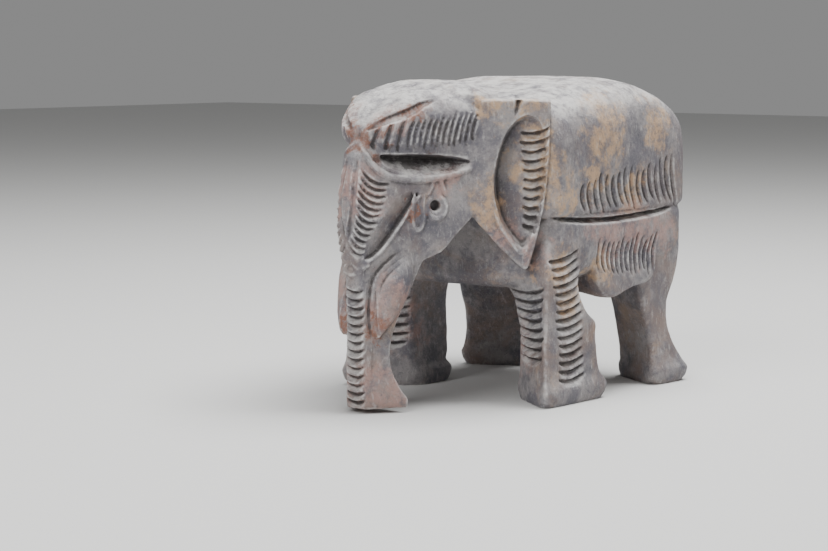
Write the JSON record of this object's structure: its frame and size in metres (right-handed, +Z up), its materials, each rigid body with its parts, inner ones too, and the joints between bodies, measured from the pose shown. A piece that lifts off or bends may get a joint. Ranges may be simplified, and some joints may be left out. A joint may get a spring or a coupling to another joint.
{
  "type": "wooden elephant figurine",
  "caption": "Small standing elephant carved from one block of mottled soapstone, with notched trunk, ears and legs, to set on a shelf.",
  "frame": {"origin": "on the ground under the middle of the figurine's length and width", "axes": "the elephant faces -Y, its left side is +X, +Z is up"},
  "size_m": [0.052, 0.0811, 0.0623],
  "materials": {
    "soapstone": "matte"
  },
  "bodies": {
    "root": {"elephant": "soapstone"}
  },
  "joints": []
}
